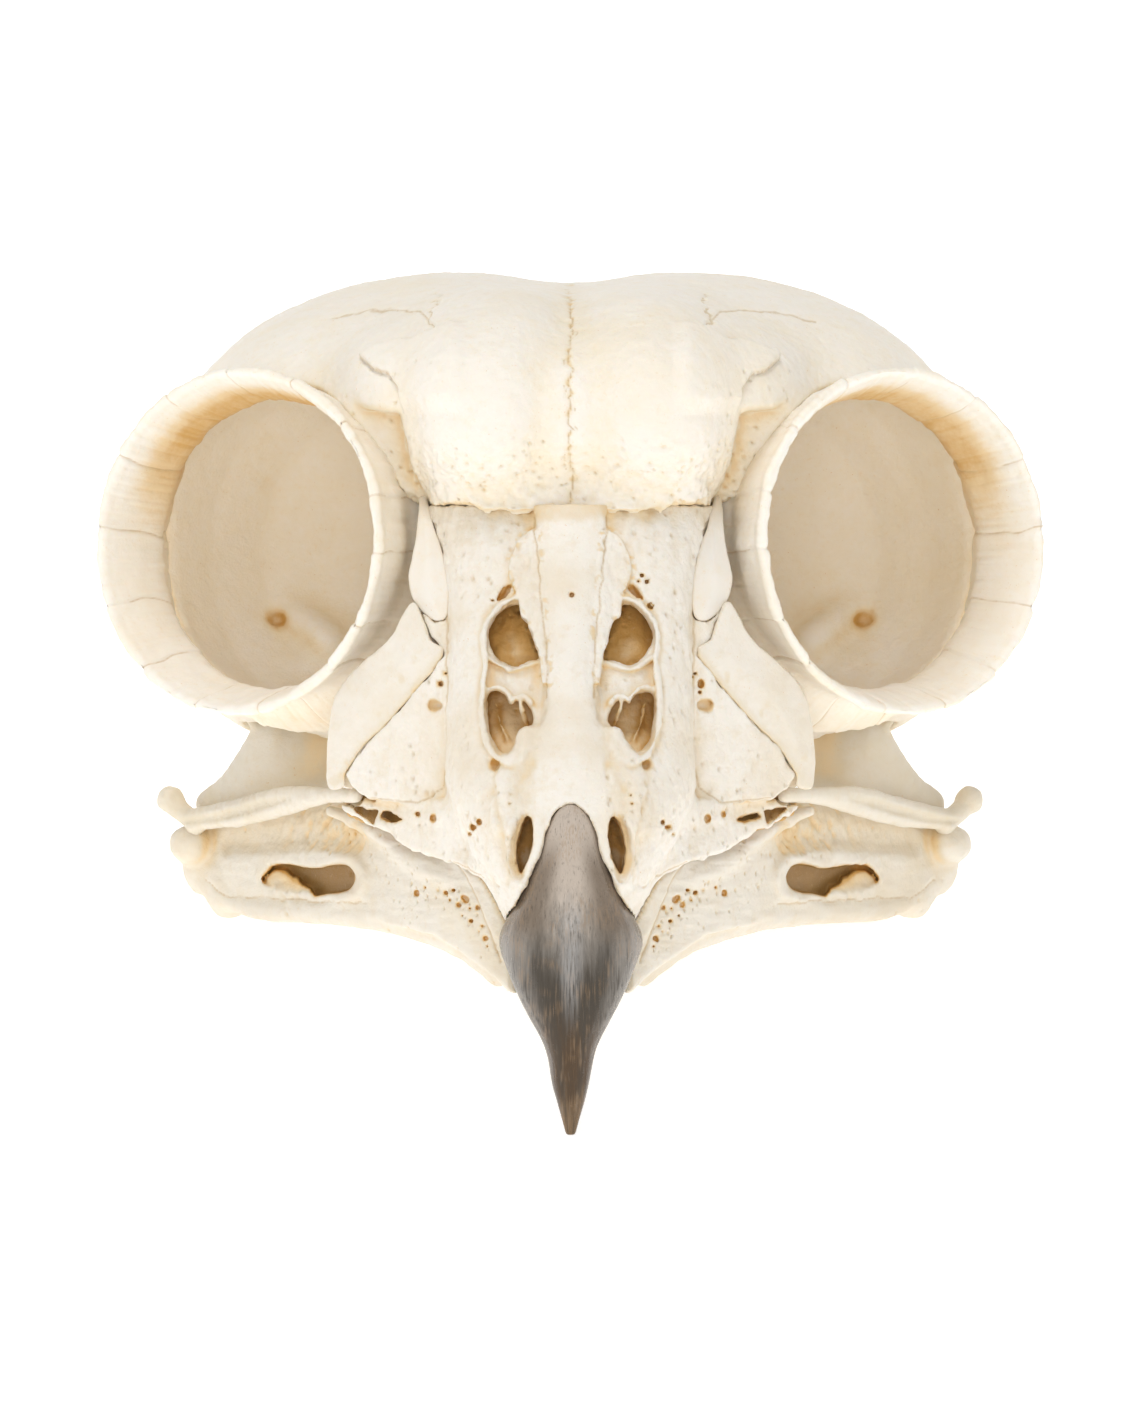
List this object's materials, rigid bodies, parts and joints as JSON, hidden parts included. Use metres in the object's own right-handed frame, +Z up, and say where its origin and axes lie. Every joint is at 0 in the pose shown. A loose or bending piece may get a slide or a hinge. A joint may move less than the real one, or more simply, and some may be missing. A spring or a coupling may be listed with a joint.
{
  "type": "owl skull",
  "caption": "Life-size owl skull with tubular eye rings, hooked dark horn bill, slender cheek bars and closed lower jaw, lying at rest.",
  "frame": {"origin": "centre of the floor rectangle under the skull, at the level that it rests on", "axes": "+X to the skull's own left, +Y from the bill to the nape, +Z up; the face is tipped up 21 degrees, as the skull lies"},
  "size_m": [0.077, 0.0917, 0.0559],
  "materials": {
    "cranium_bone": "dry cleaned bone, smooth ivory with fine pits",
    "face_bone": "dry cleaned bone, grained and pitted",
    "jaw_bone": "dry cleaned bone, warm in its grooves",
    "ring_bone": "thin overlapping bone plates",
    "bill_horn": "semi-gloss streaked dark horn"
  },
  "bodies": {
    "root": {"cranium": "cranium_bone", "upper_jaw": "face_bone", "mandible": "jaw_bone", "upper_bill_sheath": "bill_horn", "lower_bill_sheath": "bill_horn", "sclerotic_ring_left": "ring_bone", "sclerotic_ring_right": "ring_bone", "cheek_plate_left": "face_bone", "cheek_plate_right": "face_bone", "lacrimal_left": "face_bone", "lacrimal_right": "face_bone", "jugal_bar_left": "jaw_bone", "jugal_bar_right": "jaw_bone", "quadrate_left": "jaw_bone", "quadrate_right": "jaw_bone", "palatine_left": "jaw_bone", "palatine_right": "jaw_bone", "pterygoid_left": "jaw_bone", "pterygoid_right": "jaw_bone"}
  },
  "joints": []
}
